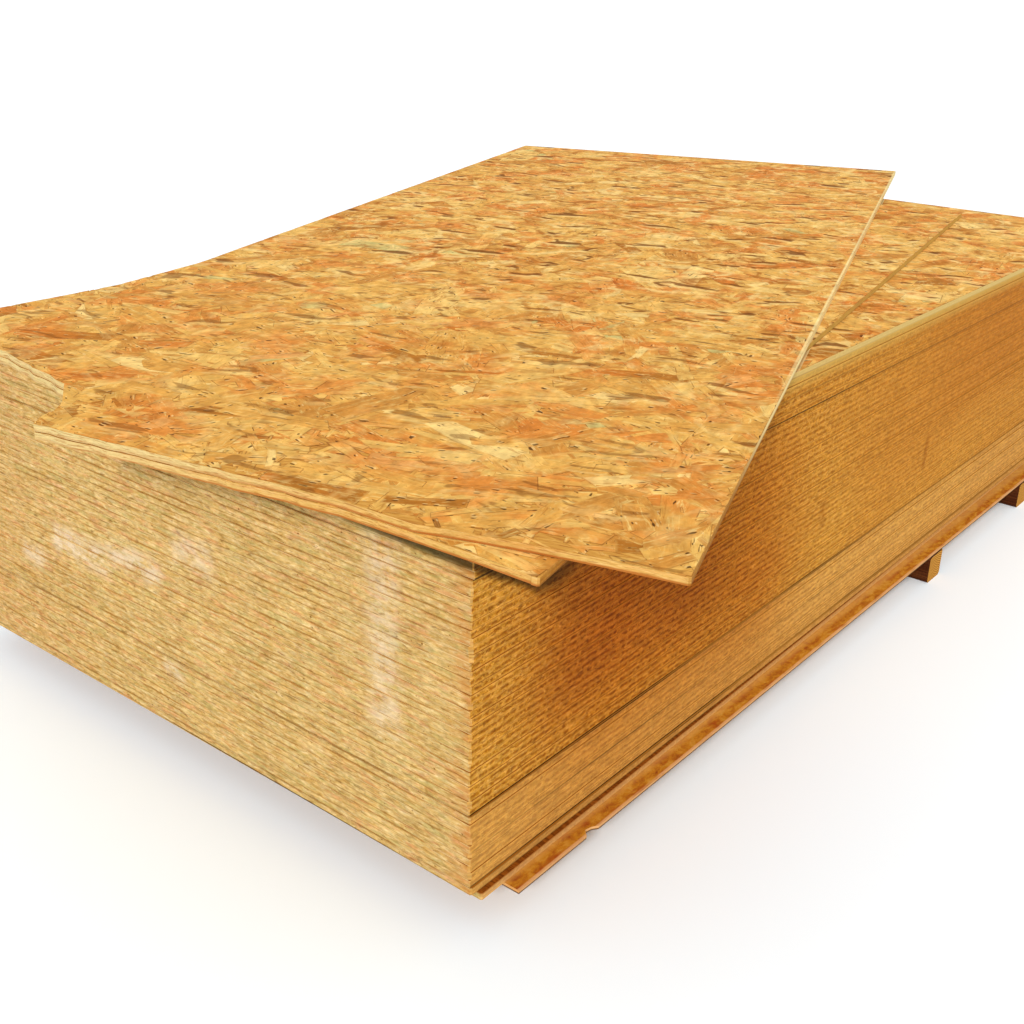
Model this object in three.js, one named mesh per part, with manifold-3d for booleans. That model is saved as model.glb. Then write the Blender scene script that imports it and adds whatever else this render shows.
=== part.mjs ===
// A pile of oriented strand board (OSB) sheets on timber bearers, with two loose sheets fanned out
// on top and a cover sheet and a thin base sheet underneath. Millimetres, +Z up. X runs along the
// long side of the sheets and Y along their short side. The corner at -X, -Y is the near corner:
// the loose sheets are turned about it and reach out past the long side there.
import * as THREE from "three";
import { mergeVertices } from "three/addons/utils/BufferGeometryUtils.js";
import Module from "manifold-3d";

const wasm = await Module();
wasm.setup();

// The sheets.
const boardLength = 2500;
const boardWidth = 1250;
const boardThickness = 11;
const layerGap = 0.3;

// The pile came from the press in lifts. From the bottom up: the sheets in each lift, and how far
// the lift has slid against the rest. Between two lifts the joint is a little wider.
const lifts = [
  { sheets: 1, along: 0.5, across: -1.5 },
  { sheets: 5, along: 1, across: 0.5 },
  { sheets: 5, along: -0.5, across: -1 },
  { sheets: 30, along: 0, across: 1 },
  { sheets: 3, along: 1.5, across: -0.5 },
  { sheets: 4, along: -5, across: -3.5 },
];
const liftGap = 0.8;

// How unevenly the sheets of one lift lie: the most that one is shifted or turned.
const shiftAlong = 1.1;
const shiftAcross = 1.1;
const turnMost = 0.04;

// The corners are knocked off by this much.
const knockedLeast = 1;
const knockedMost = 4.5;

// The loose sheets: where their near corner lies, from the pile's near corner, and their turn. The
// upper one is of a longer, narrower format and reaches out past the far end of the pile.
const lowerLoose = { along: -82.7, across: -160.3, turn: 11.4, length: boardLength, width: boardWidth };
const upperLoose = { along: 12.9, across: -283.7, turn: 19.7, length: 3050, width: 1220 };
const looseGap = 0.5;

// Past the pile's edge the loose sheets sag: this deep, this far out.
const sagDepth = 9;
const sagReach = 275;
const sagCellsAlong = 26;
const sagCellsAcross = 14;
const sagCellCrowding = 1.5;

// Both loose sheets were cut back together along the front, and lost the corner that stood out past
// the short side. The line starts at the lower one's near corner as a clean cut, opens into a break
// that runs on to a tip, turns back to just outside the pile, and then follows the pile's edge.
// Each point has how ragged the line is up to it.
const breakStart = { out: 83, across: -150 };
const breakPath = [
  { out: 98, across: 120, ragged: 0 },
  { out: 183, across: 606, ragged: 2 },
  { out: 70, across: 668, ragged: 4 },
  { out: 34, across: 940, ragged: 3 },
  { out: 6, across: 1330, ragged: 4 },
];
const breakStep = 26;

// The cover sheet and the base sheet under the pile.
const coverThickness = 11;
const coverAlong = 14;
const coverAcross = -10;
const coverTurn = 0.35;
const baseThickness = 6;
const baseAlong = 62;
const baseAcross = -35;
const baseLength = 2420;
const baseWidth = 1230;
const notchFrom = 155;
const notchLength = 30;
const notchDepth = 9;

// The bearers, sawn timber laid across.
const bearerWidth = 65;
const bearerHeight = 60;
const bearerLength = 1150;
const bearerWane = 5;
const bearerFromEnd = 437;
const bearerPitch = 559;
const bearerPastBase = 2;
const bearerSetBack = 150;

const paleFace = { color: 0xd9a257, roughness: 0.8, metalness: 0 };
const stainedFace = { color: 0xa8672c, roughness: 0.85, metalness: 0 };
const timberFace = { color: 0xb98a4e, roughness: 0.9, metalness: 0 };

// A steady, repeatable unevenness between -1 and 1 for a layer and a use.
function unevenness(layer, use) {
  const wave = Math.sin(layer * 12.9898 + use * 78.233) * 43758.5453;
  return (wave - Math.floor(wave)) * 2 - 1;
}

function meshOf(name, geometry, look) {
  const mesh = new THREE.Mesh(geometry, new THREE.MeshStandardMaterial(look));
  mesh.name = name;
  return mesh;
}

function solidOf(geometry) {
  const bare = new THREE.BufferGeometry().setAttribute("position", geometry.getAttribute("position"));
  if (geometry.index) bare.setIndex(geometry.index);
  const merged = mergeVertices(bare, 1e-3);
  const triVerts = new Uint32Array(merged.index.array);
  const vertProperties = new Float32Array(merged.getAttribute("position").array);
  return new wasm.Manifold(new wasm.Mesh({ numProp: 3, vertProperties, triVerts }));
}

function geometryOf(solid) {
  const { vertProperties, triVerts } = solid.getMesh();
  const geometry = new THREE.BufferGeometry();
  geometry.setAttribute("position", new THREE.BufferAttribute(vertProperties, 3));
  geometry.setIndex(new THREE.BufferAttribute(triVerts, 1));
  geometry.computeVertexNormals();
  return geometry;
}

// A rectangle with its near corner at 0, 0 and each corner knocked off by its own amount.
function sheetOutline(length, width, layer) {
  const [a, b, c, d] = [0, 1, 2, 3].map((corner) => {
    const share = Math.abs(unevenness(layer, corner + 4));
    return knockedLeast + (knockedMost - knockedLeast) * share ** 2;
  });
  const outline = new THREE.Shape();
  outline.moveTo(a, 0);
  outline.lineTo(length - b, 0);
  outline.lineTo(length, b);
  outline.lineTo(length, width - c);
  outline.lineTo(length - c, width);
  outline.lineTo(d, width);
  outline.lineTo(0, width - d);
  outline.lineTo(0, a);
  outline.closePath();
  return outline;
}

function slab(outline, thickness) {
  return new THREE.ExtrudeGeometry(outline, { depth: thickness, bevelEnabled: false });
}

// Places a sheet by its near corner, measured from the pile's near corner.
function place(mesh, along, across, turn, height) {
  mesh.rotation.z = THREE.MathUtils.degToRad(turn);
  mesh.position.set(along, across, height);
  return mesh;
}

function pileSheet(number, lift, height) {
  const name = "board_" + String(number).padStart(2, "0");
  const mesh = meshOf(name, slab(sheetOutline(boardLength, boardWidth, number), boardThickness), paleFace);
  const along = lift.along + shiftAlong * unevenness(number, 1);
  const across = lift.across + shiftAcross * unevenness(number, 2);
  return place(mesh, along, across, turnMost * unevenness(number, 3), height);
}

// How far a loose sheet has sunk at a point, measured from the pile's near corner.
function sagAt(along, across) {
  const pastLongSide = Math.max(0, -across);
  const pastShortSide = Math.max(0, -along);
  return sagDepth * (pastLongSide ** 2 + pastShortSide ** 2) / sagReach ** 2;
}

// The piece of both loose sheets that broke off, as an upright prism in the pile's own frame.
function brokenPiece(height, depth) {
  const outline = new THREE.Shape();
  outline.moveTo(-breakStart.out, breakStart.across);
  let from = breakStart;
  breakPath.forEach((to, leg) => {
    const distance = Math.hypot(to.out - from.out, to.across - from.across);
    const steps = to.ragged > 0 ? Math.ceil(distance / breakStep) : 1;
    for (let step = 1; step <= steps; step += 1) {
      const share = step / steps;
      const out = from.out + (to.out - from.out) * share + to.ragged * unevenness(step, 20 + leg);
      const across = from.across + (to.across - from.across) * share;
      outline.lineTo(-out, across + to.ragged * unevenness(step, 30 + leg));
    }
    from = to;
  });
  outline.lineTo(-boardWidth, from.across);
  outline.lineTo(-boardWidth, breakStart.across - boardWidth);
  outline.closePath();
  return slab(outline, depth).translate(0, 0, height);
}

// A loose sheet: bent over the pile's edges, then trimmed to its outline and to the break.
function looseSheet(name, layer, lie, height) {
  const turn = THREE.MathUtils.degToRad(lie.turn);
  const toPile = new THREE.Matrix4().makeRotationZ(turn).setPosition(lie.along, lie.across, height);
  const bent = new THREE.BoxGeometry(1, 1, boardThickness, sagCellsAlong, sagCellsAcross, 1);
  bent.translate(0.5, 0.5, boardThickness / 2);
  const points = bent.getAttribute("position");
  const point = new THREE.Vector3();
  for (let i = 0; i < points.count; i += 1) {
    point.fromBufferAttribute(points, i);
    point.x = lie.length * point.x ** sagCellCrowding;
    point.y *= lie.width;
    point.applyMatrix4(toPile);
    point.z -= sagAt(point.x, point.y);
    points.setXYZ(i, point.x, point.y, point.z);
  }
  const tall = boardThickness + 4 * sagDepth;
  const trim = slab(sheetOutline(lie.length, lie.width, layer), tall).translate(0, 0, -3 * sagDepth);
  const broken = brokenPiece(height - 3 * sagDepth, tall);
  const solid = solidOf(bent).intersect(solidOf(trim.applyMatrix4(toPile))).subtract(solidOf(broken));
  return meshOf(name, geometryOf(solid), paleFace);
}

// The thin base sheet has a bite broken out of its long edge near the corner.
function baseSheet(height) {
  const outline = new THREE.Shape();
  outline.moveTo(0, 0);
  outline.lineTo(notchFrom, 0);
  outline.lineTo(notchFrom + notchLength * 0.3, notchDepth);
  outline.lineTo(notchFrom + notchLength * 0.7, notchDepth * 0.7);
  outline.lineTo(notchFrom + notchLength, 0);
  outline.lineTo(baseLength, 0);
  outline.lineTo(baseLength, baseWidth);
  outline.lineTo(0, baseWidth);
  outline.closePath();
  const mesh = meshOf("base_sheet", slab(outline, baseThickness), stainedFace);
  return place(mesh, baseAlong, baseAcross, 0, height);
}

// A bearer lies across the pile. All its long edges but one upper edge have lost their arris.
function bearer(name, along, nearEnd) {
  const x = bearerWidth / 2;
  const section = new THREE.Shape();
  section.moveTo(-x + bearerWane, 0);
  section.lineTo(x - bearerWane, 0);
  section.lineTo(x, bearerWane);
  section.lineTo(x, bearerHeight);
  section.lineTo(-x + bearerWane, bearerHeight);
  section.lineTo(-x, bearerHeight - bearerWane);
  section.lineTo(-x, bearerWane);
  section.closePath();
  // The section stands up, and the timber runs from its near end towards +Y.
  const timber = slab(section, bearerLength).rotateX(Math.PI / 2).translate(0, bearerLength, 0);
  return place(meshOf(name, timber, timberFace), along, nearEnd, 0, 0);
}

const stack = new THREE.Group();
const bearerNearEnd = baseAcross - bearerPastBase;
const bearerPlaces = [
  { along: bearerFromEnd, nearEnd: bearerNearEnd + bearerSetBack },
  { along: bearerFromEnd + bearerPitch, nearEnd: bearerNearEnd + bearerSetBack },
  { along: boardLength - bearerFromEnd - bearerPitch, nearEnd: bearerNearEnd },
  { along: boardLength - bearerFromEnd, nearEnd: bearerNearEnd },
];
bearerPlaces.forEach((at, i) => stack.add(bearer("bearer_" + (i + 1), at.along, at.nearEnd)));

let height = bearerHeight + layerGap;
stack.add(baseSheet(height));
height += baseThickness + layerGap;

const cover = meshOf("cover_sheet", slab(sheetOutline(boardLength, boardWidth, 0), coverThickness), paleFace);
stack.add(place(cover, coverAlong, coverAcross, coverTurn, height));
height += coverThickness;

let number = 0;
for (const lift of lifts) {
  height += liftGap - layerGap;
  for (let i = 0; i < lift.sheets; i += 1) {
    number += 1;
    height += layerGap;
    stack.add(pileSheet(number, lift, height));
    height += boardThickness;
  }
}

height += looseGap;
stack.add(looseSheet("loose_sheet_lower", number + 1, lowerLoose, height));
height += boardThickness + looseGap;
stack.add(looseSheet("loose_sheet_upper", number + 2, upperLoose, height));

// The origin is on the floor, at the middle of everything seen from above.
stack.updateMatrixWorld(true);
const extent = new THREE.Box3().setFromObject(stack, true);
const middle = extent.getCenter(new THREE.Vector3());
stack.position.set(-middle.x, -middle.y, -extent.min.z);

export default stack;
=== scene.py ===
import math

import bmesh
import bpy
import numpy as np
from mathutils import Matrix, Vector


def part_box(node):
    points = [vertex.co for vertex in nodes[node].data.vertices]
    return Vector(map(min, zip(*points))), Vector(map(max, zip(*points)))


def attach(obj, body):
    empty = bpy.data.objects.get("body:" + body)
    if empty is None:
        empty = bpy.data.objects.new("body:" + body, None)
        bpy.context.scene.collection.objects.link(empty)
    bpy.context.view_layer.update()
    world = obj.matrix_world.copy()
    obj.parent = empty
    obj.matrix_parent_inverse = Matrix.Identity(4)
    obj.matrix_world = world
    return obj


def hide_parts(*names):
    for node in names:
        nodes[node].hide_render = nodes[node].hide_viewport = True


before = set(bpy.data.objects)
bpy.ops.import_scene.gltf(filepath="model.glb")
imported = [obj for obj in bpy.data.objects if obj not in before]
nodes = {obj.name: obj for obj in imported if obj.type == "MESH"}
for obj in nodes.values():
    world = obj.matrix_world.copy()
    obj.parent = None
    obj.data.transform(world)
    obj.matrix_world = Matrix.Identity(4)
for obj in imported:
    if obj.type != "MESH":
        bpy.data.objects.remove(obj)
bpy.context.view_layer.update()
mm = 0.001

# The pile: where its near corner stands, and its lifts from the bottom up.
pile = dict(
    near=(-1349.71 * mm, -804.72 * mm),
    bottom=78.4 * mm,
    width=1250 * mm,
    thickness=11 * mm,
    gap=0.3 * mm,
    pitch=11.3 * mm,
    liftStep=0.5 * mm,
    lifts=(1, 5, 5, 30, 3, 4),
    # how dark the joint is under each lift and over the last: on the long sides, on the short sides
    joints=((0.7, 0.9), (1.0, 0.2), (0.7, 0.15), (1.0, 0.3), (0.9, 0.2), (0.3, 0.1), (0.0, 0.0)),
    plain=(0.6, 0.5, 0.45, 0.0, 0.0, 0.0),  # how much less grain each lift shows
    grainStep=3.17,  # sets the grain of one board apart from the next one's
)


# Small helpers for node trees: a value that is a socket is linked, any other is set.
def join(tree, value, socket):
    if isinstance(value, bpy.types.NodeSocket):
        tree.links.new(value, socket)
    elif value is not None:
        socket.default_value = value


def put(tree, kind, *values, **settings):
    node = tree.nodes.new(kind)
    for key, value in settings.items():
        setattr(node, key, value)
    for index, value in enumerate(values):
        join(tree, value, node.inputs[index])
    return node


def calc(tree, operation, *values):
    return put(tree, "ShaderNodeMath", *values, operation=operation).outputs[0]


def times(tree, first, second, *others):
    product = calc(tree, "MULTIPLY", first, second)
    for other in others:
        product = calc(tree, "MULTIPLY", product, other)
    return product


def plus(tree, first, second):
    return calc(tree, "ADD", first, second)


def minus(tree, first, second):
    return calc(tree, "SUBTRACT", first, second)


def size(tree, value):
    return calc(tree, "ABSOLUTE", value)


def point(tree, x, y, z=0.0):
    return put(tree, "ShaderNodeCombineXYZ", x, y, z).outputs[0]


def split(tree, vector):
    return put(tree, "ShaderNodeSeparateXYZ", vector).outputs


def colour(code):
    parts = [int(code[i:i + 2], 16) / 255 for i in (0, 2, 4)]
    linear = [p / 12.92 if p <= 0.04045 else ((p + 0.055) / 1.055) ** 2.4 for p in parts]
    return (*linear, 1)


def mix(tree, share, first, second, blend="MIX"):
    node = put(tree, "ShaderNodeMix", data_type="RGBA", blend_type=blend)
    join(tree, share, node.inputs[0])
    for socket, value in ((node.inputs[6], first), (node.inputs[7], second)):
        join(tree, colour(value) if isinstance(value, str) else value, socket)
    return node.outputs[2]


def mixValue(tree, share, first, second):
    node = put(tree, "ShaderNodeMix", data_type="FLOAT")
    join(tree, share, node.inputs[0])
    join(tree, first, node.inputs[2])
    join(tree, second, node.inputs[3])
    return node.outputs[0]


def ramp(tree, value, stops, mode="LINEAR"):
    node = put(tree, "ShaderNodeValToRGB", value)
    node.color_ramp.interpolation = mode
    for index, (place, tone) in enumerate(stops):
        spot = node.color_ramp.elements[index] if index < 2 else node.color_ramp.elements.new(place)
        spot.position = place
        spot.color = colour(tone)
    return node.outputs[0]


def noise(tree, vector, detail=2.0, rough=0.5, twist=0.0):
    node = put(tree, "ShaderNodeTexNoise")
    join(tree, vector, node.inputs["Vector"])
    for name, value in (("Scale", 1.0), ("Detail", detail), ("Roughness", rough), ("Distortion", twist)):
        node.inputs[name].default_value = value
    return node.outputs[0]


# A smooth step from low at start to high at end.
def band(tree, value, start, end, low=0.0, high=1.0):
    if start > end:
        start, end, low, high = end, start, high, low
    node = put(tree, "ShaderNodeMapRange", value, start, end, low, high, interpolation_type="SMOOTHSTEP")
    return node.outputs[0]


# A noise drawn out by a look's fineness along each coordinate. The third coordinate often only tells
# layers and pieces apart, and then has no fineness of its own.
def grain(tree, first, second, third, look):
    fine = look["fine"]
    if len(fine) == 3:
        third = times(tree, third, fine[2])
    if "shift" in look:
        third = plus(tree, third, look["shift"])
    place = point(tree, times(tree, first, fine[0]), times(tree, second, fine[1]), third)
    return noise(tree, place, look.get("detail", 2.0), look.get("rough", 0.5), look.get("twist", 0.0))


# Lays a look's tone over another, from none of it to its share as the value crosses its span.
def tint(tree, tone, value, look, blend="MIX"):
    return mix(tree, band(tree, value, *look["span"], 0.0, look["share"]), tone, look["tone"], blend)


mottleSpan = (0.3, 0.7)


# Lighter and darker grain over a tone, by its strength either way.
def mottle(tree, tone, first, second, third, look):
    strength = look["strength"]
    shade = grain(tree, first, second, third, look)
    return mix(tree, 1.0, tone, band(tree, shade, *mottleSpan, 1 - strength, 1 + strength), "MULTIPLY")


# A mark's share inside a soft-edged oblong of a face, 0 outside.
def patch(tree, x, y, mark):
    inside = []
    for value, centre, reach in zip((x, y), mark["middle"], mark["half"]):
        away = size(tree, minus(tree, value, centre))
        inside.append(band(tree, away, reach, reach + mark["soft"], 1.0, 0.0))
    return times(tree, *inside, mark["share"])


def placeOf(tree):
    return split(tree, put(tree, "ShaderNodeTexCoord").outputs["Object"])


def normalOf(tree):
    return split(tree, put(tree, "ShaderNodeNewGeometry").outputs["Normal"])


turnSpan = (0.6, 0.8)


# 1 where a surface faces along an axis, either way or only towards its low end.
def along(tree, facing, axis):
    return band(tree, size(tree, facing[axis]), *turnSpan)


def towards(tree, facing, axis):
    return band(tree, facing[axis], -turnSpan[1], -turnSpan[0], 1.0, 0.0)


def newMaterial(name):
    material = bpy.data.materials.new(name)
    material.use_nodes = True
    return material


def finishSurface(material, tone, height, rough, strength=0.5, depth=1 * mm, gloss=0.05):
    tree = material.node_tree
    shader = tree.nodes["Principled BSDF"]
    join(tree, tone, shader.inputs["Base Color"])
    join(tree, rough, shader.inputs["Roughness"])
    shader.inputs["Specular IOR Level"].default_value = gloss
    bump = put(tree, "ShaderNodeBump")
    bump.inputs["Strength"].default_value = strength
    bump.inputs["Distance"].default_value = depth
    join(tree, height, bump.inputs["Height"])
    join(tree, bump.outputs[0], shader.inputs["Normal"])
    return material


view = dict(
    place=(-2365.8 * mm, -1670.5 * mm, 1208.8 * mm),
    yaw=38.53, pitch=23.37, roll=1.4,  # degrees
    lens=44.5, sensor=36,  # millimetres, as the camera wants them
    reach=1000,
)


def placeCamera():
    data = bpy.data.cameras.new("camera")
    data.lens = view["lens"]
    data.sensor_width = view["sensor"]
    data.clip_end = view["reach"]
    camera = bpy.data.objects.new("camera", data)
    bpy.context.scene.collection.objects.link(camera)
    turn = Matrix.Rotation(math.radians(view["yaw"] - 90), 4, "Z")
    tip = Matrix.Rotation(math.radians(90 - view["pitch"]), 4, "X")
    lean = Matrix.Rotation(math.radians(view["roll"]), 4, "Z")
    camera.matrix_world = Matrix.Translation(view["place"]) @ turn @ tip @ lean
    bpy.context.scene.camera = camera


studio = dict(
    floorHalf=400.0,
    floorTones=("f8feff", "f4fbff"),
    floorRough=0.9,
    floorBump=0.05,
    cloudDetail=3,
    skyTone="fcfdff",
    skyStrength=0.83,
    sunStrength=2.33,
    sunSpread=11,  # degrees
    sunTone="ffffff",
    sunFrom=(-0.766, -0.374, 0.522),
)


def buildStudio():
    half = studio["floorHalf"]
    corners = [(-half, -half, 0), (half, -half, 0), (half, half, 0), (-half, half, 0)]
    mesh = bpy.data.meshes.new("floor")
    mesh.from_pydata(corners, [], [(0, 1, 2, 3)])
    floor = bpy.data.objects.new("floor", mesh)
    bpy.context.scene.collection.objects.link(floor)
    paint = newMaterial("floorPaint")
    tree = paint.node_tree
    cloudy = noise(tree, put(tree, "ShaderNodeTexCoord").outputs["Object"], studio["cloudDetail"])
    tone = mix(tree, cloudy, *studio["floorTones"])
    mesh.materials.append(finishSurface(paint, tone, cloudy, studio["floorRough"], studio["floorBump"]))
    world = bpy.data.worlds.new("studio")
    world.use_nodes = True
    sky = world.node_tree.nodes["Background"]
    sky.inputs["Color"].default_value = colour(studio["skyTone"])
    sky.inputs["Strength"].default_value = studio["skyStrength"]
    bpy.context.scene.world = world
    sun = bpy.data.lights.new("key", "SUN")
    sun.energy = studio["sunStrength"]
    sun.angle = math.radians(studio["sunSpread"])
    sun.color = colour(studio["sunTone"])[:3]
    key = bpy.data.objects.new("key", sun)
    bpy.context.scene.collection.objects.link(key)
    key.rotation_euler = (-Vector(studio["sunFrom"])).to_track_quat("-Z", "Y").to_euler()
    bpy.context.scene.view_settings.view_transform = "Standard"


placeCamera()
buildStudio()
print("camera, floor and light")


# Strands lie across the boards, so a short side shows them cut lengthwise, as pale streaks, and a
# long side shows their ends, as rows of small dents. Within says how far up a board a point is.
streakLook = dict(
    body=dict(fine=(36.0, 160.0), detail=5, rough=0.74, twist=0.8),
    tones=(
        (0.28, "956e34"), (0.39, "ad8646"), (0.47, "b89456"), (0.55, "c1a166"), (0.65, "ccaf7a"),
        (0.78, "d6c197"),
    ),
    middle=0.49,
    nearJoint=(0.28, 0.46, 0.015, -0.09),
    hue=dict(fine=(24.0, 120.0), shift=20.3, detail=3, rough=0.6),
    warm=dict(span=(0.53, 0.68), share=0.6, tone="bd8151"),
    olive=dict(span=(0.46, 0.34), share=0.45, tone="a49656"),
    dash=dict(fine=(44.0, 230.0), shift=3.7, twist=0.3),
    dashes=(0.38, 0.28, 0.0, 0.6),
    speck=dict(fine=(150.0, 200.0), shift=9.1, detail=1),
    specks=(0.73, 0.79, 0.0, 0.9),
    line="7a5220",
    mottle=dict(fine=(85.0, 180.0), shift=41.0, rough=0.6, strength=0.17),
)
endGrainLook = dict(
    weave=dict(fine=(115.0, 190.0), detail=4, rough=0.7, twist=0.4),
    tones=((0.28, "955e0e"), (0.42, "ba8022"), (0.52, "cb9234"), (0.64, "d8a24c"), (0.78, "e3b86e")),
    middle=0.48,
    ridge=dict(span=(0.22, 0.42), share=0.5, tone="dda04a"),
    dash=dict(fine=(105.0, 110.0, 5.0), detail=3, rough=0.65, twist=0.5),
    dashes=(0.4, 0.54),
    sway=dict(fine=(34.0, 1.0), detail=1),
    swayLayer=8.0,
    swayShare=0.35,
    row=(0.27, 0.08),
    core="8c4a08",
    coreShare=0.7,
    pits=dict(fine=(100.0, 160.0), shift=30.0),
    pit=dict(span=(0.6, 0.68), share=0.5, tone="744010"),
    mottle=dict(fine=(120.0, 200.0), shift=13.0, rough=0.6, strength=0.13),
)
faceLook = dict(
    body=dict(fine=(160.0, 24.0), detail=4, rough=0.65, twist=1.2),
    tones=((0.25, "8a5220"), (0.4, "b4772f"), (0.52, "c8903e"), (0.66, "d6a250"), (0.8, "e0b26a")),
)


def streakedEdge(tree, run, up, within, seed):
    look = streakLook
    fromMiddle = size(tree, minus(tree, within, look["middle"]))
    streak = grain(tree, run, up, seed, look["body"])
    streak = plus(tree, streak, band(tree, fromMiddle, *look["nearJoint"]))
    tone = ramp(tree, streak, look["tones"])
    hue = grain(tree, run, up, seed, look["hue"])
    tone = tint(tree, tone, hue, look["warm"])
    tone = tint(tree, tone, hue, look["olive"])
    dashed = band(tree, grain(tree, run, up, seed, look["dash"]), *look["dashes"])
    specked = band(tree, grain(tree, run, up, seed, look["speck"]), *look["specks"])
    dark = calc(tree, "MAXIMUM", dashed, specked)
    tone = mix(tree, dark, tone, look["line"])
    tone = mottle(tree, tone, run, up, seed, look["mottle"])
    return tone, minus(tree, streak, dark)


def endGrainEdge(tree, run, up, within, seed):
    look = endGrainLook
    weave = grain(tree, run, up, seed, look["weave"])
    tone = ramp(tree, weave, look["tones"])
    fromMiddle = minus(tree, within, look["middle"])
    tone = tint(tree, tone, size(tree, fromMiddle), look["ridge"])
    # a wavering row of dark dashes along the middle
    dashed = band(tree, grain(tree, run, up, seed, look["dash"]), *look["dashes"])
    sway = minus(tree, grain(tree, run, seed, look["swayLayer"], look["sway"]), 0.5)
    off = plus(tree, fromMiddle, times(tree, sway, look["swayShare"]))
    core = times(tree, dashed, band(tree, size(tree, off), *look["row"]))
    tone = mix(tree, times(tree, core, look["coreShare"]), tone, look["core"])
    tone = tint(tree, tone, grain(tree, run, up, seed, look["pits"]), look["pit"])
    tone = mottle(tree, tone, run, up, seed, look["mottle"])
    return tone, minus(tree, weave, core)


def pressedFace(tree, run, across, seed):
    body = grain(tree, run, across, seed, faceLook["body"])
    return ramp(tree, body, faceLook["tones"]), body


# Tone and height of a board: those of its long sides, of its short sides and of its faces.
def everySide(tree, facing, sides, ends, faces):
    onShort, onFace = along(tree, facing, 0), along(tree, facing, 2)
    tone = mix(tree, onFace, mix(tree, onShort, sides[0], ends[0]), faces[0])
    height = mixValue(tree, onFace, mixValue(tree, onShort, sides[1], ends[1]), faces[1])
    return tone, height


# The short sides of the pile. Marks are measured from its near corner at floor height: chalky smears,
# and the shade under the lower loose sheet.
shortLook = dict(
    mottle=dict(fine=(9.0, 22.0), detail=3, rough=0.6, strength=0.06),
    mottleLayer=4.0,
    farSpan=(0.75, 1.25),
    far="faf0ec",
    worn=dict(fine=(22.0, 36.0), detail=5, rough=0.75),
    wornLayer=5.0,
    bruise=dict(reach=55 * mm, span=(0.35, 0.65), share=0.7, tone="b4702c"),
    chalk=(
        dict(middle=(0.15, 0.41), half=(0.01, 0.13), soft=0.035, share=0.45),
        dict(middle=(0.54, 0.405), half=(0.03, 0.008), soft=0.035, share=0.5),
        dict(middle=(0.69, 0.345), half=(0.05, 0.004), soft=0.035, share=0.6),
        dict(middle=(0.84, 0.32), half=(0.06, 0.006), soft=0.035, share=0.7),
        dict(middle=(0.98, 0.265), half=(0.02, 0.002), soft=0.03, share=0.5),
        dict(middle=(0.61, 0.185), half=(0.01, 0.002), soft=0.025, share=0.5),
    ),
    chalkSpan=(0.36, 0.62),
    chalkTone="dcc8ac",
    # painted shade under the lower loose sheet, dark from its line up to the sheet, fading below
    paintedShade=dict(line=0.56, slope=0.02, depth=13 * mm, end=(0.29, 0.17), share=0.85, tone="2c2208"),
)
# The long sides: on the near one a zone of painted shade under the overhanging sheets, and scuffs; plainer
# and redder farther along; and painted shade under the overhanging corner.
longLook = dict(
    cloud=dict(fine=(2.2, 4.0, 2.0)),
    dusk=dict(span=(0.6, 0.4), share=0.3, tone="e2c094"),
    plainSpan=(0.4, 1.5),
    plainMost=0.45,
    plain="be7e2e",
    lowPlain="cc9650",
    # painted shade, darker and redder, under the overhanging loose sheets
    shadeZones=(
        dict(middle=(0.5, 0.36), half=(0.18, 0.06), soft=0.34, share=1.0, tone="e2c094"),
        dict(middle=(0.36, 0.4), half=(0.14, 0.05), soft=0.16, share=0.45, tone="cf9a70"),
    ),
    fartherAlong=(0.7, 1.9, 0.0, 0.6),
    fartherUp=(0.15, 0.5),
    farther="ac621a",
    mottle=dict(fine=(50.0, 130.0, 9.0), rough=0.6, strength=0.13),
    scuffs=(
        dict(middle=(1.44, 0.305), half=(0.002, 0.03), soft=0.012, share=0.45),
        dict(middle=(0.967, 0.315), half=(0.002, 0.02), soft=0.02, share=0.35),
    ),
    scuffTone="8c4a08",
    lastLift=dict(span=(0.0, 3.6), share=0.8, tone="c9a452"),
    # painted shade under the overhanging corner of the loose sheets
    paintedShade=dict(
        line=0.56, slope=0.57, lowest=0.487, depth=(0.1, 0.16, 13 * mm, 26 * mm), span=(-1.0, 0.1),
        end=(0.14, 0.29, 0.84, 0.0), tone="180c04",
    ),
)
# The arrises are bruised and dusty, and darkest along the joints between lifts, where a line of shade is
# painted.
# Of the faces inside the pile only the joints show: dusty at the short sides, painted dark as shade at the
# long ones.
jointLook = dict(
    arris=(0.34, 0.47),
    broken=dict(fine=(11.0, 11.0, 7.7), detail=3, rough=0.6),
    cleanLong=(0.1, 0.8, 0.15, 0.0),
    cleanShort=0.4,
    jointSpan=(0.46, 0.62),
    joint="6a3c0c",
    dusty=(0.52, 0.4, 0.0, 0.5),
    dust="e4c890",
    fading=dict(fine=(1.7, 1.7, 40.0), detail=1),
    fadingSpan=(0.38, 0.56, 0.35, 1.0),
    fadingAlong=(0.8, 1.5, 1.0, 0.5),
    # painted shade line along the joints between lifts
    seamSpan=(2.8 * mm, 0.9 * mm),
    seam="2b1403",
    inner=0.7,
    innerSpan=(0.44, 0.56),
    gap="c09452",
    # painted shade on the faces inside the joints near the long sides, darker near the front, lighter
    # farther along
    underShadeSpan=(30 * mm, 10 * mm),
    underShadeAlong=(0.1, 0.9),
    underShade="a0621c",
    ledge="a8742c",
    faceSeed=1.0,
    rough=0.8,
)


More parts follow.
